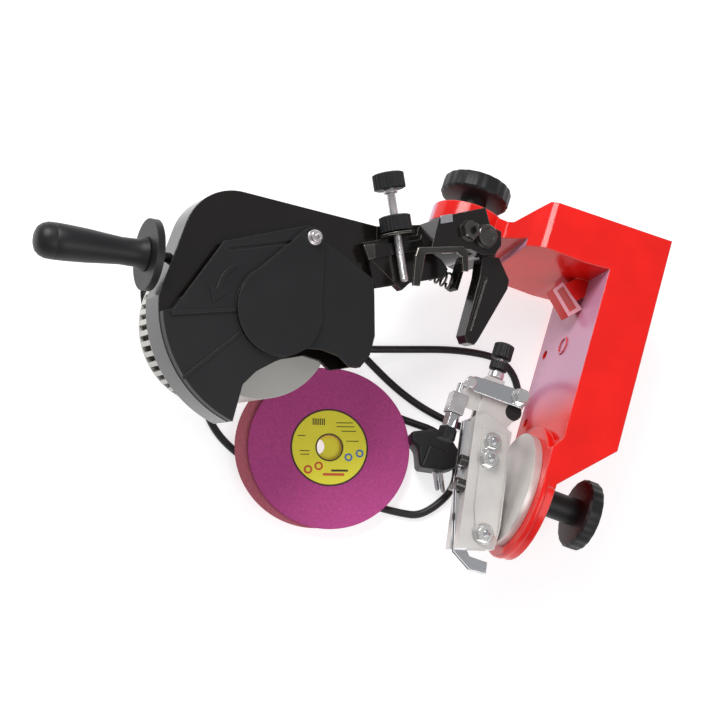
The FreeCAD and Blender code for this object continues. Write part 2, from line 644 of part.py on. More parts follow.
def vise():
    half = D.vise_half
    hinge_x = VISE_DRAWN_AT.x - plain(D.hinge_back)
    hinge_y = VISE_DRAWN_AT.y - plain(D.hinge_down)
    slot = D.slot_half
    outline = [(47, -144), (56, -138), (82, -147), (84, -163), (89, -190), (95.5, -228), (95.5, -247),
               (64, -256)]
    rear_arm = slab([(50, -150), (50, -104), (66, -104), (66, -108), (88, -108), (88, -122), (76, -150)], -8, 8)
    tools = [slab([(30, -130), (58, -136), (66, -190), (80, -262), (60, -290), (30, -290)], -slot, slot),
             block(72, 110, hinge_y - 14, hinge_y + 12, -5.3, 5.3),
             rod(D.vise_pin_radius, 60, hinge_x, hinge_y, -30),
             rod(3, 60, 59, -84, 0, "-y"), rod(4, 14, 67, -161, 6), rod(4, 30, 81, -114, -15),
             hexagon(5.5, 20, 60, -183.7, 10, "-x"), rod(5.5, 20, 62, -203.7, 10, "-x"),
             rod(4, 20, 74, -200, -20)]
    node("vise_body", cut(join(slab(outline, -half, half), rear_arm), *tools), VISE)
    plate = slab([(56, -152), (78, -150), (82, -163), (86.5, -192), (93, -234), (93, -246), (78, -246),
                  (68, -220)], half, half + D.plate_thickness)
    node("side_plate", cut(plate, rod(4, 14, 67, -161, 10), rod(D.vise_pin_radius, 40, hinge_x, hinge_y, 0),
                           rod(4, 20, 68, -176, 10)), VISE)
    top = half + D.plate_thickness
    node("side_bolt", join(rod(4, top - 6, 67, -161, 6), hexagon(6.5, 4, 67, -161, top)), VISE)
    node("side_nut", join(rod(4, D.plate_thickness, 68, -176, half), rod(8, 1.5, 68, -176, top), hexagon(7, 7, 68, -176, top)), VISE)
    pin = join(rod(D.vise_pin_radius, top + half + 2, hinge_x, hinge_y, -half - 2), hexagon(7, 6, hinge_x, hinge_y, top),
               rod(7, 2, hinge_x, hinge_y, -half - 2))
    node("vise_hinge_pin", pin, VISE)
    node("clamp_nuts", group(hexagon(5.5, 14, 60, -183.7, 10, "-x"), rod(5.5, 14, 62, -203.7, 10, "-x")), VISE)
    jaw = [(42, -148), (54, -146), (60, -190), (73, -250), (80, -257.5), (96.5, -257.5), (98, -267),
           (84, -268), (66, -258), (50, -200)]
    node("fixed_jaw", slab(jaw, slot - D.jaw_thickness, slot), VISE)
    node("moving_jaw", slab(jaw, -slot + 0.2, -slot + 0.2 + D.jaw_thickness), VISE)
    screw = join(rod(4 - D.pivot_clearance, 20, 0, 0, 0), rod(13, 8, 0, 0, -8), block(-18, 18, -3, 3, -8, 0))
    node("jaw_screw", put(screw, 74, -200, -slot - 20 - 0.05), VISE)


def chain_stop():
    node("stop_screw", join(rod(3 - D.pivot_clearance, 58, 59, -84, 0, "-y"),
                            rod(9, 14, 59, -70, 0, "-y"), rod(7, 6, 59, -96.5, 0, "-y")), VISE)
    node("stop_lock_nut", put(cut(rod(8, 8), rod(3, 8)), 59, -87, 0, "-y"), VISE)
    link = slab([(73, -107), (84, -105), (90, -112), (88, -122), (26, -143), (24, -128)], 9, 12)
    node("stop_link", cut(link, rod(4, 20, 81, -114, 0)), VISE)
    bolt = join(rod(4 - D.pivot_clearance, 17, 81, -114, -8), rod(4 - D.pivot_clearance, 3.1, 81, -114, 9), hexagon(7.5, 6, 81, -114, 12.1))
    node("link_bolt", bolt, VISE)
    node("stop_rod", join(rod(3.5, 54, 31, -112, 2, "-y"), hexagon(7, 10, 31, -160, 2, "-y")), VISE)
    clamp = cut(block(24, 38, -146, -128, -4, 9), rod(3.5, 60, 31, -110, 2, "-y"))
    node("rod_clamp", clamp, VISE)


# ---------------------------------------------------------------- loose wheels and cord
def loose_wheels():
    low = D.cord_diameter + 0.3
    for name, thick, x, y, z in (
            ("thick_wheel", D.thick_wheel, -69, -199, low),
            ("thin_wheel", D.thin_wheel, -57.5, -196.5, low + D.thick_wheel)):
        node(name, put(washer(D.wheel_radius, D.wheel_bore, thick), x, y, z), FLOOR)
    label = washer(D.label_radius, D.wheel_bore, D.label_thickness)
    node("thin_wheel_label", put(label, -57.5, -196.5, low + D.thick_wheel + D.thin_wheel), FLOOR)


def cord():
    """The lead: gland to coil, then from the coil under the wheels and round to the plug."""
    r = plain(D.cord_diameter) / 2
    lead = [(-100.5, -110, 30.6), (-66, -104, 16.3), (-24, -86, r), (32, -66, r), (79, -61, r), (103, -99, r),
            (79, -137, r), (33, -136, r), (-8, -126, r), (-52, -104, r), (-98, -77, r), (-146, -62, r),
            (-195, -62, r)]
    tail = [(-219, -153, r), (-186, -176, r), (-164, -212, r), (-124, -231, r), (-76, -234, r), (-28, -233, r),
            (20, -231, r), (44, -226, r + 0.01), (67, -187, r), (44, -148, r), (-3, -148, r), (-52, -145, r),
            (-97, -142, r), (-120, -180, r), (-97, -217, r), (-52, -214, r), (-24, -184, r), (1, -171, r),
            (14, -166, r + 1)]
    ring = D.coil_radius
    for name, corners in (("cord_lead", lead), ("cord_tail", tail)):
        points = [Vector(*corner) for corner in corners]
        wire, radii = rounded_path(points)
        print(name, "length %.0f" % wire.Length, "radii", ["%.0f" % radius for radius in radii])
        start = wire.Edges[0]
        circle = Part.Wire(Part.makeCircle(r, points[0], start.tangentAt(start.FirstParameter)))
        tube = wire.makePipeShell([circle], True, True)
        print(name, "volume ratio %.4f" % (tube.Volume / (math.pi * r * r * wire.Length)))
        LOOSE.append(node(name, shape(name, tube), FLOOR))
    coil = cut(rod(ring + D.cord_diameter, D.cord_diameter * 2), rod(ring - D.cord_diameter, D.cord_diameter * 2))
    LOOSE.append(node("cord_coil", put(coil, -222, -103, 0), FLOOR))


def plug():
    radius = D.plug_radius
    face = rod(radius, 16, 0, 0, 0, "-y")
    rear = cone(radius, 9, 20, 0, -1, 0, "y")
    neck = rod(4.4, 22, -20, 8, -14, "x")
    body = join(face, rear, neck)
    entry = rod(D.cord_diameter / 2, 14, -34, 8, -14, "x")
    tips = [rod(D.pin_radius, 34, x, -1, z, "-y") for x, z in ((5.2, 8), (-5.2, -8))]
    holes = [rod(D.pin_radius, 34, x, -1, z, "-y") for x, z in ((5.2, 8), (-5.2, -8))]
    LOOSE.append(node("plug_body", put(cut(body, entry, *holes), 36, -174, radius), FLOOR))
    LOOSE.append(node("plug_pins", put(group(*tips), 36, -174, radius), FLOOR))


def hand_over():
    """Checks every piece, sets the origin under the middle and writes the files."""
    doc.recompute()
    for item in doc.Objects:
        if any(state in ("Invalid", "Error") for state in item.State):
            raise RuntimeError("%s (%s) is %s" % (item.Name, item.Label, item.State))
    bounds = FreeCAD.BoundBox()
    for piece in NODES:
        if piece.Shape.isNull() or not piece.Shape.isValid():
            raise RuntimeError("bad shape: " + piece.Label)
        if piece not in LOOSE:
            bounds.add(piece.Shape.optimalBoundingBox(False))
    centre = Vector(-bounds.Center.x, -bounds.Center.y, 0)
    print("size", bounds.XLength, bounds.YLength, bounds.ZLength, "low", bounds.ZMin)
    print("tilt axis", centre.x, centre.y, axis_height())
    os.makedirs("parts", exist_ok=True)
    for piece in NODES:
        moved = piece.Shape.copy()
        moved.translate(centre)
        box = moved.optimalBoundingBox(False)
        print("%-18s %9.1f  %s" % (piece.Label, moved.Volume, " ".join(
            "%.1f" % value for value in (box.XMin, box.XMax, box.YMin, box.YMax, box.ZMin, box.ZMax))))
        moved.exportStep("parts/" + piece.Label + ".step")


base_casting()
clamp_knobs()
tilt_bracket()
swing_arm()
return_spring()
wheel_guard()
guard_cover()
motor()
switch_and_gland()
handle()
depth_screw()
turntable()
vise()
chain_stop()
loose_wheels()
cord()
plug()
hand_over()
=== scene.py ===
"""Saw-chain sharpener lying on its side: looks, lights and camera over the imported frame."""
import json
import math

import bmesh
import bpy
from mathutils import Matrix, Vector

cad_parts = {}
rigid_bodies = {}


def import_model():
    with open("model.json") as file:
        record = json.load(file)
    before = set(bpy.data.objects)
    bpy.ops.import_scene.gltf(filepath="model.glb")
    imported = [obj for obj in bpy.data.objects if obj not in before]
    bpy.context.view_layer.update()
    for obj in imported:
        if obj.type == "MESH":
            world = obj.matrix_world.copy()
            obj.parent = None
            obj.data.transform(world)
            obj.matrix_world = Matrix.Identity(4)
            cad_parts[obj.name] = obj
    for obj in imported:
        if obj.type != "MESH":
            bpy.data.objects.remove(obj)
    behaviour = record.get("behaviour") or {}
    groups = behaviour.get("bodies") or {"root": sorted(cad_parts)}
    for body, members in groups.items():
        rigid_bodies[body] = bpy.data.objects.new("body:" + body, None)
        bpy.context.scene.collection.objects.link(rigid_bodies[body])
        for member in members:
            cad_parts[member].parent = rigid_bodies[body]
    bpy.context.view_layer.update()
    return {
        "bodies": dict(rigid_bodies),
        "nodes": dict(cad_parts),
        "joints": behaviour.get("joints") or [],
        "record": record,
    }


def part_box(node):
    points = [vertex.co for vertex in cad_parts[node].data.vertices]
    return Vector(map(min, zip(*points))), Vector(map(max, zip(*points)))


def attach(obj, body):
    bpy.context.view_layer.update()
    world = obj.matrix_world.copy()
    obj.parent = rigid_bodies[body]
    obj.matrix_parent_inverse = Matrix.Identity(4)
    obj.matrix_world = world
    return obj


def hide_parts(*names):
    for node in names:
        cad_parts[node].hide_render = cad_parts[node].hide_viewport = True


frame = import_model()
nodes = frame["nodes"]

MM = 0.001
BASE_LEAN = 7         # degrees about y, from the lying surface to the casting
HEAD_LEAN = 22.5      # the same for the head
JOINTS = {joint["name"]: joint for joint in frame["record"]["behaviour"]["joints"]}
TILT_TO_ORIGIN = Vector((0.007, 0, 0))

# both frames share one origin, 7 mm from the tilt axis
O = (Vector(JOINTS["head_tilt"]["pos_m"])
     + Matrix.Rotation(math.radians(BASE_LEAN), 3, "Y") @ TILT_TO_ORIGIN)
BASE = Matrix.Translation(O) @ Matrix.Rotation(math.radians(BASE_LEAN), 4, "Y")
HEAD = Matrix.Translation(O) @ Matrix.Rotation(math.radians(HEAD_LEAN), 4, "Y")
FLOOR = Matrix.Translation((O.x, O.y, 0))

# places in millimetres, in the frame that each comment names
VISE_AXIS = -190                     # BASE y of the turntable and its clamp knob
COVER_BOLT = (-151, -65.5, 24.3)     # HEAD
COVER_TOP = 20.3                     # HEAD z
ARM_TOP = 42.3                       # HEAD z
VISE_PLATE_TOP = 18                  # BASE z
UPPER_WHEEL = (-57.5, -196.5)        # FLOOR x and y, the thin labelled wheel
LOWER_WHEEL = (-69, -199)            # FLOOR x and y, the thick wheel under it


# ---------------------------------------------------------------- camera
def camera():
    data = bpy.data.cameras.new("camera")
    data.lens = 62.5
    data.sensor_width = 36.0
    data.clip_start = 0.05
    data.clip_end = 20
    cam = bpy.data.objects.new("camera", data)
    bpy.context.scene.collection.objects.link(cam)
    axes = Matrix(((0.943863, 0.298658, 0.141158),          # world axes in camera coordinates
                   (-0.324765, 0.917108, 0.231173),
                   (-0.060416, -0.264039, 0.962618)))
    place = axes.transposed().to_4x4()
    place.translation = O + Vector((-124.48, -411.55, 1033.40)) * MM
    cam.matrix_world = place
    bpy.context.scene.camera = cam


# ---------------------------------------------------------------- materials
def shader(tree, kind, **inputs):
    """A new shader node; an input's name has underscores for its spaces."""
    node = tree.nodes.new("ShaderNode" + kind)
    for name, value in inputs.items():
        node.inputs[name.replace("_", " ")].default_value = value
    return node


def bevelled_normal(tree, radius):
    """The surface normal with edges rounded over a radius in metres."""
    bevel = shader(tree, "Bevel", Radius=radius)
    bevel.samples = 4
    return bevel.outputs["Normal"]


def dot_product(tree, normal):
    """A dot product whose first vector is linked; the caller sets the second."""
    dot = shader(tree, "VectorMath")
    dot.operation = "DOT_PRODUCT"
    tree.links.new(normal, dot.inputs[0])
    return dot


def product(tree, first):
    """A multiplication whose first factor is linked; the caller sets the second."""
    multiply = shader(tree, "Math")
    multiply.operation = "MULTIPLY"
    tree.links.new(first, multiply.inputs[0])
    return multiply


def tinted(tree, factor, source, color):
    """A colour source, mixed towards a fixed colour."""
    mix = shader(tree, "Mix")
    mix.data_type = "RGBA"
    tree.links.new(factor, mix.inputs["Factor"])
    tree.links.new(source, mix.inputs["A"])
    mix.inputs["B"].default_value = (*color, 1)
    return mix.outputs["Result"]


def material(name, color, rough=0.5, metal=0.0, coat=0.0, coat_rough=0.1, grain=0.0,
             grain_scale=400.0, mottle=0.0, mottle_scale=30.0, mottle_color=None, brushed=None,
             edge_wear_and_highlight=0.0, specular=0.5, edge=None, rounding=0.8):
    """A node material: base colour with slow mottling, varied roughness, fine bump, and lighter
    edges for wear and for painted highlights.
    """
    mat = bpy.data.materials.new(name)
    mat.use_nodes = True
    tree = mat.node_tree
    link = tree.links.new
    bsdf = tree.nodes["Principled BSDF"]
    bsdf.inputs["Metallic"].default_value = metal
    bsdf.inputs["Coat Weight"].default_value = coat
    bsdf.inputs["Coat Roughness"].default_value = coat_rough
    bsdf.inputs["Specular IOR Level"].default_value = specular

    coords = shader(tree, "TexCoord").outputs["Object"]
    slow = shader(tree, "TexNoise", Scale=mottle_scale, Detail=6)
    link(coords, slow.inputs["Vector"])
    ramp = shader(tree, "ValToRGB")
    low, high = ramp.color_ramp.elements
    low.position, high.position = 0.35, 0.7
    low.color = (*(mottle_color or [channel * (1 - mottle) for channel in color]), 1)
    high.color = (*color, 1)
    link(slow.outputs["Fac"], ramp.inputs["Fac"])
    source = ramp.outputs["Color"]

    # lighter edges: wear on most paints; on the red and black enamels and the dark steel the edge
    # colour is a painted highlight
    if edge_wear_and_highlight:
        dot = dot_product(tree, bevelled_normal(tree, 0.0012))
        link(shader(tree, "NewGeometry").outputs["Normal"], dot.inputs[1])
        worn_or_lit = shader(tree, "MapRange", From_Min=0.99, From_Max=0.8, To_Max=edge_wear_and_highlight)
        link(dot.outputs["Value"], worn_or_lit.inputs["Value"])
        worn_or_lit_color = edge or [min(1.0, channel * 1.6 + 0.05) for channel in color]
        source = tinted(tree, worn_or_lit.outputs["Result"], source, worn_or_lit_color)
    link(source, bsdf.inputs["Base Color"])

    vary = shader(tree, "MapRange", To_Min=max(0.02, rough - 0.06), To_Max=rough + 0.06)
    link(slow.outputs["Fac"], vary.inputs["Value"])
    link(vary.outputs["Result"], bsdf.inputs["Roughness"])

    fine = shader(tree, "TexNoise", Scale=grain_scale, Detail=3)
    if brushed:
        stretch = shader(tree, "Mapping", Scale=brushed)
        link(coords, stretch.inputs["Vector"])
        link(stretch.outputs["Vector"], fine.inputs["Vector"])
    else:
        link(coords, fine.inputs["Vector"])
    bump = shader(tree, "Bump", Strength=grain, Distance=0.0004)
    link(fine.outputs["Fac"], bump.inputs["Height"])
    link(bevelled_normal(tree, rounding * MM), bump.inputs["Normal"])
    link(bump.outputs["Normal"], bsdf.inputs["Normal"])
    return mat


# the record's slots, then paints for single pieces that are stored under the nearest slot
MATERIALS = {
    # red and black enamel: the pale edge colours are painted highlights along the rounded edges
    "red_paint": material("red_enamel", (0.86, 0.012, 0.008), 0.2, coat=0.1, coat_rough=0.06,
                          grain=0.05, grain_scale=120, mottle=0.12, edge_wear_and_highlight=0.6, specular=0.3,
                          edge=(1.0, 0.42, 0.38), rounding=1.8),
    "black_casting": material("black_enamel", (0.009, 0.007, 0.006), 0.2, coat=0.25,
                              coat_rough=0.08, grain=0.12, grain_scale=260, mottle=0.2,
                              edge_wear_and_highlight=0.8, specular=0.35, edge=(0.16, 0.14, 0.12), rounding=1.4),
    "black_plastic": material("black_plastic", (0.010, 0.010, 0.011), 0.45, grain=0.2,
                              grain_scale=1500, mottle=0.15, specular=0.35, edge_wear_and_highlight=0.5),
    "motor_paint": material("motor_enamel", (0.60, 0.585, 0.54), 0.38, grain=0.1, grain_scale=300,
                            mottle=0.06, edge_wear_and_highlight=0.3),
    "machined_alu": material("machined_aluminium", (0.74, 0.71, 0.68), 0.36, metal=0.5, grain=0.15,
                             grain_scale=300, brushed=(1, 12, 1), mottle=0.15),
    "zinc": material("zinc_plate", (0.86, 0.85, 0.84), 0.24, metal=0.82, grain=0.1, grain_scale=500,
                     mottle_color=(0.60, 0.55, 0.56), mottle_scale=32, edge_wear_and_highlight=0.3,
                     edge=(0.95, 0.94, 0.92)),
    "chrome": material("chrome", (0.72, 0.72, 0.74), 0.12, metal=1.0, mottle=0.04),
    # dark steel: the pale edge colour is a painted highlight along its edges
    "dark_steel": material("dark_steel", (0.10, 0.095, 0.09), 0.16, metal=0.8, grain=0.1,
                           grain_scale=500, mottle=0.4, mottle_scale=60, edge_wear_and_highlight=0.9,
                           edge=(0.62, 0.57, 0.50)),
    "steel": material("ground_steel", (0.42, 0.42, 0.43), 0.32, metal=1.0, grain=0.1,
                      grain_scale=500),
    "laminations": material("core_plates", (0.22, 0.17, 0.13), 0.5, metal=0.6, grain=0.4,
                            grain_scale=500, brushed=(1, 1, 14)),
    "wheel_magenta": material("abrasive_magenta", (0.58, 0.075, 0.30), 0.85, grain=1.0,
                              grain_scale=900, mottle=0.25, mottle_scale=700),
    "wheel_pink": material("abrasive_pink", (0.60, 0.15, 0.20), 0.85, grain=1.0, grain_scale=900,
                           mottle=0.25, mottle_scale=700),
    "label_yellow": material("label_paper", (0.95, 0.86, 0.05), 0.6, grain=0.1, grain_scale=800,
                             mottle=0.08),
    "cord_rubber": material("cord_sheath", (0.014, 0.014, 0.015), 0.42, grain=0.15, grain_scale=900,
                            mottle=0.1),
    "fastener": material("bright_fastener", (0.82, 0.81, 0.79), 0.22, metal=0.9, grain=0.05,
                         grain_scale=500, mottle=0.1, rounding=0.25),
    "dark_fastener": material("dark_fastener", (0.13, 0.12, 0.11), 0.2, metal=0.85, grain=0.05,
                              grain_scale=500, mottle=0.2, rounding=0.3),
    # a painted highlight: pale red for the corner lug's top rim, not a paint of the casting
    "red_painted_highlight": material("red_enamel_painted_highlight", (0.80, 0.40, 0.46), 0.25, coat=0.3, grain=0.05,
                         grain_scale=120),
    "ink": material("print_ink", (0.05, 0.03, 0.02), 0.6, grain=0.05),
    "ink_blue": material("print_blue", (0.10, 0.22, 0.55), 0.6, grain=0.05),
    "ink_red": material("print_red", (0.70, 0.10, 0.03), 0.6, grain=0.05),
}


def painted_floor_reflection(mat, facing, low, high, reflection_color, amount):
    """Paints a reflection of the pale floor into the base colour, as a paler tint on the faces
    that look along one world direction. It fades in from y = low to y = high in the world,
    so the painted reflection stays on the piece in every view."""
    tree = mat.node_tree
    link = tree.links.new
    base_color = tree.nodes["Principled BSDF"].inputs["Base Color"]
    geometry = shader(tree, "NewGeometry")
    dot = dot_product(tree, geometry.outputs["True Normal"])
    dot.inputs[1].default_value = facing
    reflecting_faces = shader(tree, "MapRange", From_Min=0.97, From_Max=0.995)
    link(dot.outputs["Value"], reflecting_faces.inputs["Value"])
    place = shader(tree, "SeparateXYZ")
    link(geometry.outputs["Position"], place.inputs[0])
    fade = shader(tree, "MapRange", From_Min=low, From_Max=high)
    link(place.outputs["Y"], fade.inputs["Value"])
    both = product(tree, reflecting_faces.outputs["Result"])
    link(fade.outputs["Result"], both.inputs[1])
    scaled = product(tree, both.outputs["Value"])
    scaled.inputs[1].default_value = amount
    link(tinted(tree, scaled.outputs["Value"], base_color.links[0].from_socket, reflection_color), base_color)


def paint_nodes():
    slots = {part["node"]: part["material_slot"] for part in frame["record"]["subparts"]}
    for name, obj in nodes.items():
        obj.data.materials.clear()
        obj.data.materials.append(MATERIALS[slots[name]])


# ---------------------------------------------------------------- light and floor
def area(name, place, target, size, power):
    data = bpy.data.lights.new(name, "AREA")
    data.shape = "RECTANGLE"
    data.size = data.size_y = size
    data.energy = power
    lamp = bpy.data.objects.new(name, data)
    bpy.context.scene.collection.objects.link(lamp)
    lamp.location = place
    lamp.rotation_euler = (Vector(target) - Vector(place)).to_track_quat("-Z", "Y").to_euler()


def studio():
    """A bright paper floor, a soft sky, a key light and a fill light."""
    mesh = bpy.data.meshes.new("floor")
    mesh.from_pydata([(-6, -6, 0), (6, -6, 0), (6, 6, 0), (-6, 6, 0)], [], [(0, 1, 2, 3)])
    floor = bpy.data.objects.new("floor", mesh)
    paper = material("floor_paper", (0.50, 0.50, 0.51), 0.6, grain=0.02, mottle=0.01, specular=0.1)
    glow = paper.node_tree.nodes["Principled BSDF"].inputs
    glow["Emission Color"].default_value = (1, 1, 1, 1)
    glow["Emission Strength"].default_value = 0.70
    floor.data.materials.append(paper)
    bpy.context.scene.collection.objects.link(floor)
    world = bpy.data.worlds.new("studio")
    world.use_nodes = True
    sky = world.node_tree.nodes["Background"].inputs
    sky["Color"].default_value = (0.95, 0.97, 1, 1)
    sky["Strength"].default_value = 0.4
    bpy.context.scene.world = world
    bpy.context.scene.view_settings.view_transform = "Standard"
    area("key", (-0.9, 0.9, 1.7), (0, 0, 0.05), 0.9, 34)
    area("fill", (1.2, -0.7, 1.6), (0, 0, 0.05), 1.2, 12)


# ---------------------------------------------------------------- piece builders
AROUND = 96                      # corners of a turned ring
SHARP = math.radians(35)         # edges above this angle stay sharp


def settle(name, bm, frame, slot, body, bevel=0.0, hides=(), paint=None):
    """Turns a bmesh in millimetres into a finished piece that rides on a body."""
    bmesh.ops.recalc_face_normals(bm, faces=bm.faces)
    for edge in bm.edges:
        edge.smooth = len(edge.link_faces) == 2 and edge.calc_face_angle(0) < SHARP
    for face in bm.faces:
        face.smooth = True
    bmesh.ops.transform(bm, matrix=frame @ Matrix.Scale(MM, 4), verts=bm.verts)
    mesh = bpy.data.meshes.new(name)
    bm.to_mesh(mesh)
    bm.free()
    mesh.materials.append(MATERIALS[paint or slot])
    obj = bpy.data.objects.new(name, mesh)
    bpy.context.scene.collection.objects.link(obj)
    if bevel:
        rounding = obj.modifiers.new("rounding", "BEVEL")
        rounding.width = bevel * MM
        rounding.segments = 2
        rounding.limit_method = "ANGLE"
        rounding.angle_limit = SHARP
        rounding.harden_normals = True
    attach(obj, body)
    if hides:
        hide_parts(*hides)
    return obj


def skin(bm, low, high):
    """A band of faces between two rows of corners."""
    for i in range(len(low)):
        j = (i + 1) % len(low)
        bm.faces.new((low[i], low[j], high[j], high[i]))


def stack(name, rings, frame, slot, body, hides=(), paint=None):
    """Skins rings of (height, radius); a radius is a number or a function of the angle.
    A profile that ends on its first ring closes on itself instead of being capped."""
    bm = bmesh.new()
    rows = []
    closed = rings[0] == rings[-1]
    for height, radius in rings[:-1] if closed else rings:
        row = []
        for i in range(AROUND):
            angle = 2 * math.pi * i / AROUND
            reach = radius(angle) if callable(radius) else radius
            row.append(bm.verts.new((reach * math.cos(angle), reach * math.sin(angle), height)))
        rows.append(row)
    for low, high in zip(rows, rows[1:] + rows[:1] if closed else rows[1:]):
        skin(bm, low, high)
    if not closed:
        bm.faces.new(rows[0])
        bm.faces.new(rows[-1])
    return settle(name, bm, frame, slot, body, hides=hides, paint=paint)


def prism(name, outline, bottom, top, frame, slot, body, bevel=0.5, hides=(), paint=None):
    """A plate with the given outline."""
    bm = bmesh.new()
    low, high = ([bm.verts.new((x, y, z)) for x, y in outline] for z in (bottom, top))
    skin(bm, low, high)
    bm.faces.new(low)
    bm.faces.new(high)
    return settle(name, bm, frame, slot, body, bevel, hides, paint)


def rim(name, outer, inner, bottom, top, frame, slot, body, paint=None):
    """A flat frame between two outlines with the same number of corners."""
    bm = bmesh.new()
    loops = [[bm.verts.new((x, y, z)) for x, y in outline]
             for outline, z in ((outer, bottom), (outer, top), (inner, top), (inner, bottom))]
    for low, high in zip(loops, loops[1:] + loops[:1]):
        skin(bm, low, high)
    return settle(name, bm, frame, slot, body, 0.3, paint=paint)


def moved(frame, x, y, z):
    """A frame moved along its own axes, in millimetres."""
    return frame @ Matrix.Translation(Vector((x, y, z)) * MM)


def along(frame, start, direction):
    """A frame whose z runs along a direction of another frame, from a point in millimetres."""
    turn = Vector(direction).normalized().to_track_quat("Z", "Y").to_matrix().to_4x4()
    return moved(frame, *start) @ turn


def hexed(radius):
    """A hexagon's reach at each angle, for its corner radius."""
    side = math.pi / 3
    return lambda angle: radius * math.cos(side / 2) / math.cos(angle % side - side / 2)


def ribbed(radius, count, depth):
    """Straight knurling: small teeth all round."""
    return lambda angle: radius - depth * (0.5 - 0.5 * math.cos(count * angle)) ** 2


def knurled_knob(name, radius, height, frame, slot, body, count, depth=0.9, hides=()):
    """A knob with straight knurling and a small dished hole in its end."""
    flutes = ribbed(radius, count, depth)
    stack(name, [(0, radius - 3), (0, radius - 2), (0.9, flutes), (height - 0.9, flutes),
                 (height, radius - 2), (height, 3.2), (height - 0.8, 2.6), (height - 0.8, 0.2)],
          frame, slot, body, hides)


def threaded(name, radius, start, end, frame, slot, body, pitch=1.0, depth=0.35, hides=()):
    """A rod with rings in place of a thread, between two heights."""
    root = radius - depth
    rings = [(start, root)]
    for i in range(int((end - start) / pitch)):
        rings += [(start + (i + 0.5) * pitch, radius), (start + (i + 1) * pitch, root)]
    stack(name, rings, frame, slot, body, hides)


def socket_screw(name, radius, height, frame, slot, body):
    """A round head with a hexagon socket."""
    key = radius * 0.5
    stack(name, [(0, radius), (height - 0.6, radius), (height, radius - 0.6),
                 (height, hexed(key + 0.3)), (height - 0.3, hexed(key)),
                 (height * 0.35, hexed(key)), (height * 0.35, 0.1)], frame, slot, body)


def hex_head(name, radius, height, frame, slot, body, paint):
    """A hexagon head or nut with a domed rim."""
    corners = hexed(radius)
    stack(name, [(0, corners), (height - 0.8, corners), (height, radius * 0.84), (height, 0.1)],
          frame, slot, body, paint=paint)


# ---------------------------------------------------------------- mains lead
LEAD_RADIUS = 3.5
COIL_X, COIL_Y = -222, -103      # FLOOR
COIL_OUTER, COIL_INNER = 41.5, 34.5
COIL_LOW, COIL_HIGH = LEAD_RADIUS, 3 * LEAD_RADIUS


def coil_points():
    """Control points of the coiled spare length: two rings of two layers, wound anticlockwise."""
    def ramp(edge):
        return min(1.0, max(0.0, (turn - edge) * 6 + 0.5))
    points = []
    for step in range(1, 54):
        angle = 75 + 30 * step
        turn = (angle - 90) / 360
        radius = COIL_OUTER + (COIL_INNER - COIL_OUTER) * (ramp(1) - ramp(3))
        height = COIL_LOW + (COIL_HIGH - COIL_LOW) * ramp(2)
        points.append((COIL_X + radius * math.cos(math.radians(angle)),
                       COIL_Y + radius * math.sin(math.radians(angle)), height))
    return points


def mains_lead(plug):
    """The lead from the motor's end, through the coil and round the loose wheels to the plug."""
    r = LEAD_RADIUS
    lead = [(-100.5, -110, 30.6), (-66, -104, 16.3), (-24, -86, r), (32, -66, r), (79, -61, r),
            (103, -99, r), (79, -137, r), (33, -136, r), (-8, -126, r), (-52, -104, r),
            (-98, -77, r), (-146, -62, r), (-195, -62, r)]
    tail = [(-237, -148, 9), (-219, -153, r), (-186, -176, r), (-164, -212, r), (-124, -231, r),
            (-76, -234, r), (-28, -233, r), (20, -231, r), (44, -226, r), (67, -187, r),
            (44, -148, r), (-3, -148, r), (-52, -145, r), (-97, -142, r), (-120, -180, r),
            (-97, -217, r), (-52, -214, r), (-24, -184, r), (1, -171, r), (14, -166, r + 1)]
    route = [FLOOR @ (Vector(point) * MM) for point in lead + coil_points() + tail]
    data = bpy.data.curves.new("mains_lead", "CURVE")
    data.dimensions = "3D"
    data.bevel_depth = LEAD_RADIUS * MM
    data.bevel_resolution = 4
    data.resolution_u = 8
    spline = data.splines.new("NURBS")
    spline.points.add(len(route) - 1)
    for point, place in zip(spline.points, route):
        point.co = (*place, 1)
    spline.order_u = 3
    spline.use_endpoint_u = True
    lead_obj = bpy.data.objects.new("mains_lead", data)
    bpy.context.scene.collection.objects.link(lead_obj)
    data.materials.append(MATERIALS["cord_rubber"])
    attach(lead_obj, "base")
    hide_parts("cord_lead", "cord_coil", "cord_tail")


def plug_shell():
    """The plug's boxy moulded body over its round core, with two close pins."""
    outline = [(6.5, -161.6), (27.0, -152.2), (45.7, -158.0), (54.0, -165.1), (55.3, -178.8),
               (45.3, -185.0), (22.7, -189.9), (21.2, -184.8), (16.6, -173.7), (9.2, -170.5)]
    step = [(25.5, -168), (54.2, -170.5), (54.6, -180), (45.3, -186.2), (23.6, -190.5)]
    pieces = [prism("plug_shell", outline, 2.5, 31, FLOOR, "black_plastic", "base", 3,
                    hides=("plug_body",)),
              prism("plug_step", step, 5, 33, FLOOR, "black_plastic", "base", 2)]
    for index, x in enumerate((38, 43.5)):
        pin = along(FLOOR, (x, -184, 16), (0.42, -0.9, 0))
        profile = [(0, 2.3), (18.5, 2.3), (20.4, 1.4), (20.4, 0.1)]
        pieces.append(stack("plug_pin_%d" % index, profile, pin, "chrome", "base",
                            () if index else ("plug_pins",)))
    return pieces


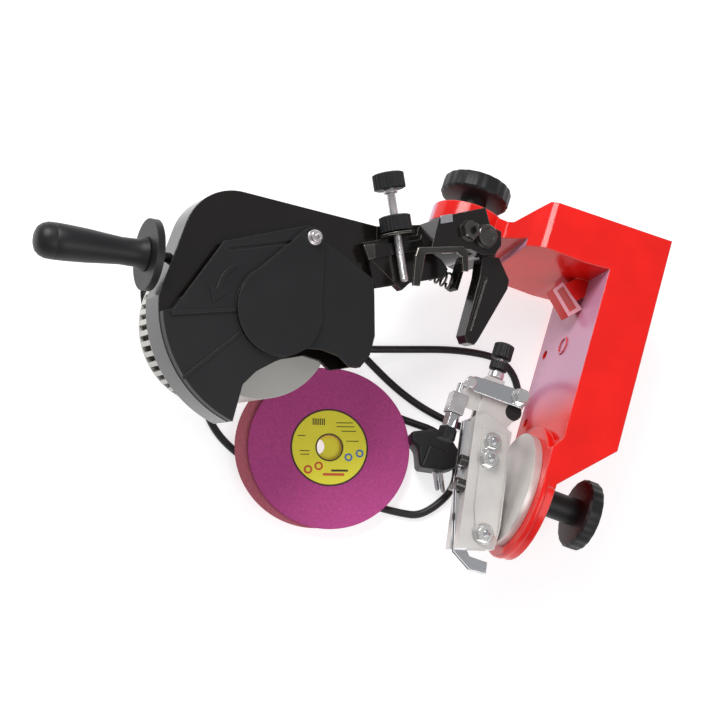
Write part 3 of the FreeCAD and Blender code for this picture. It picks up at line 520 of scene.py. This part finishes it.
# ---------------------------------------------------------------- head
def depth_stop():
    """The long depth screw: ribbed black knob, zinc rod with a thread, collar at the lock nut."""
    axis = along(HEAD, (-62, -64.5, 26), (-0.505, 0.863, 0))
    nut_at, knob_at = 42, 78
    threaded("depth_rod_thread", 3.6, 2, nut_at, axis, "zinc", "depth_screw",
             hides=("depth_screw",))
    stack("depth_rod", [(0, 1.6), (1, 3.1), (2, 3.2), (41, 3.3), (nut_at, 3.6), (79, 3.6)], axis,
          "zinc", "depth_screw")
    knurled_knob("depth_knob", 13.5, 14, moved(axis, 0, 0, knob_at), "black_plastic",
                 "depth_screw", 26)
    stack("depth_knob_hub", [(74.5, 5.2), (75.2, 6), (78.4, 6)], axis, "zinc", "depth_screw")
    knurled_knob("depth_nut", 13.5, 14, moved(axis, 0, 0, nut_at), "black_plastic",
                 "depth_lock_nut", 26, hides=("depth_lock_nut",))
    stack("depth_nut_flange", [(38.6, 13), (39, 14.6), (41, 14.6), (41.6, 12)], axis,
          "dark_steel", "depth_lock_nut")


def cover_details():
    """Moulded marks of the guard cover and its bolt."""
    bolt = along(HEAD, COVER_BOLT, (0, 0, 1))
    stack("cover_washer", [(0, 6.4), (0.9, 6.4), (1.2, 6.0), (1.2, 3)], bolt, "zinc",
          "guard_cover", hides=("cover_bolt",))
    socket_screw("cover_screw", 4.9, 5.2, bolt, "zinc", "guard_cover")
    arrow = [(-205.6, -113.0), (-210.4, -120.0), (-212.9, -128.0), (-213.2, -138.6),
             (-219.0, -139.6), (-211.6, -150.6), (-203.4, -138.4), (-208.9, -138.2),
             (-208.8, -128.5), (-206.6, -121.5), (-202.6, -114.8)]
    rib = [(-183.5, -162.0), (-181.5, -164.0), (-212.5, -215.5), (-214.8, -213.5)]
    ridge = [(-241, -170), (-239.5, -173.5), (-191.5, -149.0), (-192.5, -146.0)]
    for name, outline, height, bevel in (("direction_arrow", arrow, 0.9, 0.35),
                                         ("cover_rib", rib, 1.0, 0.4),
                                         ("cover_ridge", ridge, 1.6, 0.5)):
        prism(name, outline, COVER_TOP - 0.4, COVER_TOP + height, HEAD, "black_plastic",
              "guard_cover", bevel)


def handle_grip():
    """The grip with its domed end cap."""
    axis = moved(along(HEAD, (-263.5, -130.5, 0), (-0.955, -0.298, 0)), 0, 0, 6)
    stack("grip", [(0, 13.2), (0.8, 13.6), (5, 12.2), (8, 10.9), (20, 10.6), (32, 11.6),
                   (46, 12.9), (62, 13.8), (71, 14), (71.6, 13.6), (72.2, 14), (77, 13.7),
                   (81, 12.2), (84, 9.6), (85.6, 6), (86, 0.1)],
          axis, "black_plastic", "head", ("handle_grip",))


def arm_details():
    """Socket nut and pivot ring of the swing arm."""
    nut = along(HEAD, (-27, -3, ARM_TOP), (0, 0, 1))
    corners, key = hexed(8.6), hexed(4.4)
    stack("arm_nut", [(0, 9.4), (0.8, 9.4), (0.8, corners), (5.6, corners), (6.4, 7), (6.4, key),
                      (2.2, key), (2.2, 0.1)], nut, "dark_steel", "head", ("arm_screw",),
          "dark_fastener")
    ring = along(HEAD, (-10, 0, ARM_TOP), (0, 0, 1))
    stack("pivot_ring", [(0, 10.6), (1.2, 10.6), (1.2, 9.7), (4.8, 9.7), (5.4, 9), (5.4, 6.4),
                         (4.6, 5.8), (4.6, 0.1)], ring, "dark_steel", "tilt_bracket",
          paint="dark_fastener")


def arm_block():
    """The arm's front plate with its bright lip, the block under it and the bright pad."""
    seam = 19.6      # HEAD z between the plate and the block
    plate = [(-106.3, -50.4), (-63.4, -25.4), (-52, -16), (-48, -26), (-60.7, -34.8),
             (-97.5, -59.6)]
    lip = [(-106.6, -50.6), (-97.2, -45.0), (-92.4, -56), (-97.8, -60.1)]
    block = [(-96.6, -58.8), (-62.4, -35.2), (-48, -26), (-31, -28), (-22, -33), (-24, -42),
             (-50.8, -58.9), (-82.5, -79), (-87.2, -74)]
    pad = [(-57.5, -3.5), (-47.5, 3.2), (-44.5, -3), (-55, -10)]
    prism("arm_bar", plate, seam, 22.2, HEAD, "black_casting", "head", 0.8,
          hides=("depth_holder",))
    prism("arm_lip", lip, 19.4, 22.3, HEAD, "dark_steel", "head", 0.5)
    prism("arm_block", block, 15.4, seam, HEAD, "black_casting", "head", 1.2)
    prism("arm_pad", pad, ARM_TOP, 43.2, HEAD, "chrome", "head", 0.3)


# ---------------------------------------------------------------- loose wheels
def closed_ring(name, outer, inner, frame, thick, paint=None):
    """A flat printed or paper ring that lies on a wheel."""
    stack(name, [(0, outer), (thick, outer), (thick, inner), (0, inner), (0, outer)], frame,
          "label_yellow", "spare_wheels", paint=paint)


def wheel_details():
    """Plain rings, dots and bars on the upper wheel's label, and the lower wheel's label."""
    label = moved(FLOOR, *UPPER_WHEEL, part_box("thin_wheel_label")[1].z / MM)
    closed_ring("label_outline", 34.8, 33.4, label, 0.15, "ink")
    closed_ring("label_inner_ring", 12.6, 11.4, label, 0.1, "ink")
    dots = ((27.5, 3.5, 3.6, "ink_blue"), (19.0, -3.0, 3.6, "ink_blue"),
            (-12.0, -25.0, 3.8, "ink_red"), (-4.0, -19.0, 3.8, "ink_red"))
    for index, (x, y, radius, paint) in enumerate(dots):
        closed_ring("label_dot_%d" % index, radius, radius - 1.6, moved(label, x, y, 0), 0.12,
                    paint)
    bars = [(-21 + 1.6 * i, 17.5 + 0.5 * i, 0.9, 6) for i in range(7)]
    bars += [(6, 25.5, 15, 0.7), (8, 22.5, 16, 0.7), (12, 19.5, 13, 0.7), (18, 12, 11, 0.7),
             (-27, 2, 7, 0.7), (-20, -10, 9, 0.7), (-19, -13, 8, 0.7), (11, -22, 19, 2.2),
             (15, -17, 15, 1.8)]
    red_bar = len(bars) - 2
    turn = Matrix.Rotation(math.radians(18), 4, "Z")
    for index, (x, y, wide, high) in enumerate(bars):
        w, h = wide / 2, high / 2
        prism("label_bar_%02d" % index, [(-w, -h), (w, -h), (w, h), (-w, h)], 0, 0.12,
              moved(label, x, y, 0) @ turn, "label_yellow", "spare_wheels", 0,
              paint="ink_red" if index == red_bar else "ink")
    lower = moved(FLOOR, *LOWER_WHEEL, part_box("thick_wheel")[1].z / MM)
    closed_ring("lower_label", 33, 7.5, lower, 0.15)


# ---------------------------------------------------------------- clamp knobs
def hand_knob(name, frame, hub, thick, body, hides):
    """A round clamp knob: hub, dished disc and a rim of shallow flats with rounded edges."""
    flutes = ribbed(31, 20, 0.9)
    inner = ribbed(29.2, 20, 0.5)
    outer = ribbed(30, 20, 0.6)
    top = hub + thick
    stack(name, [(0, 10.5), (0.8, 12), (hub, 12), (hub, 26), (hub + 0.6, inner),
                 (hub + 2.6, flutes), (top - 2.6, flutes), (top - 0.8, outer), (top, 28),
                 (top, 22), (top - 1.4, 19), (top - 1.8, 0.1)], frame, "black_plastic", body, hides)


def clamp_knobs():
    hand_knob("tilt_hand_knob", along(BASE, (-7, 31.1, 0), (0, 1, 0)), 14, 17, "tilt_knob",
              ("tilt_knob",))
    hand_knob("vise_hand_knob", along(BASE, (119.1, VISE_AXIS, 0), (1, 0, 0)), 42, 14,
              "vise_knob", ("vise_knob",))


# ---------------------------------------------------------------- vise and chain stop
def chain_stop_screw():
    """The screw that sets the chain stop: ribbed black knob, lock ring, zinc collar and rod."""
    axis = along(BASE, (59, -70, 0), (0, -1, 0))
    knurled_knob("stop_knob", 9, 14, axis, "black_plastic", "stop_screw", 20, 0.7,
                 ("stop_screw",))
    threaded("stop_rod_thread", 3, 13, 72, axis, "zinc", "stop_screw", 0.9, 0.3)
    stack("stop_collar", [(26.5, 6.4), (27, 7), (32, 7), (32.5, 6.4)], axis, "zinc", "stop_screw")
    knurled_knob("stop_ring", 8, 8, moved(axis, 0, 0, 17), "black_plastic", "stop_lock_nut", 20,
                 0.6, ("stop_lock_nut",))


def chain_link():
    """The link of the chain stop: two strips, the bolt that holds them and the short rod with
    its cap."""
    strip = [(31.6, -115.6), (37.7, -110.5), (78.5, -108.1), (87.1, -110.3), (89.7, -117.3),
             (84.9, -123.3), (72.5, -123.5), (39.8, -123.7)]
    low_strip = [(27.6, -131.1), (35.0, -119.6), (77.7, -119.2), (88.1, -123.7), (86.8, -131.6),
                 (76.5, -136.6), (31.2, -138.1)]
    prism("link_strip", strip, 12.2, 14.0, BASE, "chrome", "stop_arm", 0.5, hides=("stop_link",))
    prism("link_strip_low", low_strip, 5.0, 7.0, BASE, "machined_alu", "stop_arm", 0.5)
    bolt = along(BASE, (81, -114, 14.1), (0, 0, 1))
    stack("link_washer", [(0, 7.6), (1.2, 7.6), (1.2, 4)], bolt, "zinc", "vise", ("link_bolt",),
          "fastener")
    hex_head("link_head", 6.6, 6.5, moved(bolt, 0, 0, 1.2), "zinc", "vise", "fastener")
    spacer = along(BASE, (81, -127, 3), (0, 0, 1))
    stack("link_spacer", [(0, 6), (0, 7.6), (4.8, 7.6), (5.6, 7)], spacer, "black_plastic",
          "stop_arm")
    pin = along(BASE, (35, -117.5, 6), (0, 0, 1))
    stack("link_pin", [(0, 4), (8, 4), (8.2, 5.2), (9.6, 5.2), (10.2, 4.4), (10.2, 0.1)], pin,
          "zinc", "stop_arm")
    rod = along(BASE, (31, -116, 2), (0, -1, 0))
    threaded("stop_rod_thread_short", 3.4, 2, 44, rod, "chrome", "stop_arm", 1.0, 0.3,
             ("stop_rod",))
    stack("stop_rod_ring", [(21, 4), (21.4, 6.4), (27, 6.4), (27.4, 4)], rod, "dark_steel",
          "stop_arm")
    sleeve = hexed(6.6)
    stack("stop_rod_sleeve", [(30, 4), (30.6, sleeve), (42, sleeve), (42.8, 5.6)], rod, "chrome",
          "stop_arm")
    stack("stop_rod_cap", [(42.8, 6), (43.4, hexed(8)), (52, hexed(8.4)), (54, 7), (54, 0.1)],
          rod, "black_plastic", "stop_arm")


def vise_details():
    """Round-topped nuts with washers on the vise plate."""
    for name, x, y, wide, tall, hides in (("plate_screw", 67, -161, 6.4, 4.5, ("side_bolt",)),
                                          ("plate_nut", 68, -176, 7.4, 6.5, ("side_nut",)),
                                          ("hinge_nut", 82, -238, 7.4, 5.5, ())):
        spot = along(BASE, (x, y, VISE_PLATE_TOP), (0, 0, 1))
        washer = [(0, wide + 1.6), (1, wide + 1.6), (1.4, wide + 1.2), (1.4, 3)]
        stack(name + "_washer", washer, spot, "zinc", "vise", hides, "fastener")
        top = moved(spot, 0, 0, 1.4)
        hex_head(name, wide, tall, top, "zinc", "vise", "fastener")
        tip = [(tall - 0.4, 3), (tall + 1.2, 3), (tall + 1.8, 2.2), (tall + 1.8, 0.1)]
        stack(name + "_tip", tip, top, "chrome", "vise")


# ---------------------------------------------------------------- casting
def casting_details():
    """The slanted corner lug with a painted highlight on its top rim, the ring on the bench lug and
    the turntable seat's second rim.
    """
    outer = [(80.8, -12.2), (87.8, -2.0), (112.1, -19.3), (101.9, -30.6)]
    inner = [(85.0, -11.4), (89.3, -5.8), (106.8, -19.9), (101.6, -25.9)]
    rim("corner_lug_tube", outer, inner, 4, 18.6, BASE, "red_paint", "base")
    # painted highlight along the corner lug's top rim
    rim("corner_lug_highlight_rim", outer, inner, 18.6, 19.6, BASE, "red_paint", "base", "red_painted_highlight")
    lug = along(BASE, (111.6, -50, -2), (-1, 0, 0))
    stack("lug_ring", [(0, 8.4), (0.6, 8.4), (1.0, 8.0), (1.0, 6.8), (0.6, 6.4), (0, 6.4),
                       (0, 8.4)], lug, "red_paint", "base")
    seat = along(BASE, (105.2, VISE_AXIS, 0), (1, 0, 0))
    stack("seat_rim", [(0, 58), (0, 58.9), (1.2, 59.6), (4.4, 59.6), (5.2, 59.2), (5.2, 58),
                       (0, 58)], seat, "red_paint", "base")


camera()
throat_wall = BASE.to_3x3() @ Vector((-1, 0, 0))
# painted reflection: a pale lilac tint on the red casting's throat wall stands for the floor
# reflected in it
painted_floor_reflection(MATERIALS["red_paint"], throat_wall, O.y - 0.125, O.y - 0.085, (0.60, 0.36, 0.55), 0.85)
paint_nodes()
mains_lead(plug_shell())
depth_stop()
chain_stop_screw()
cover_details()
wheel_details()
clamp_knobs()
handle_grip()
arm_details()
arm_block()
chain_link()
vise_details()
casting_details()
studio()
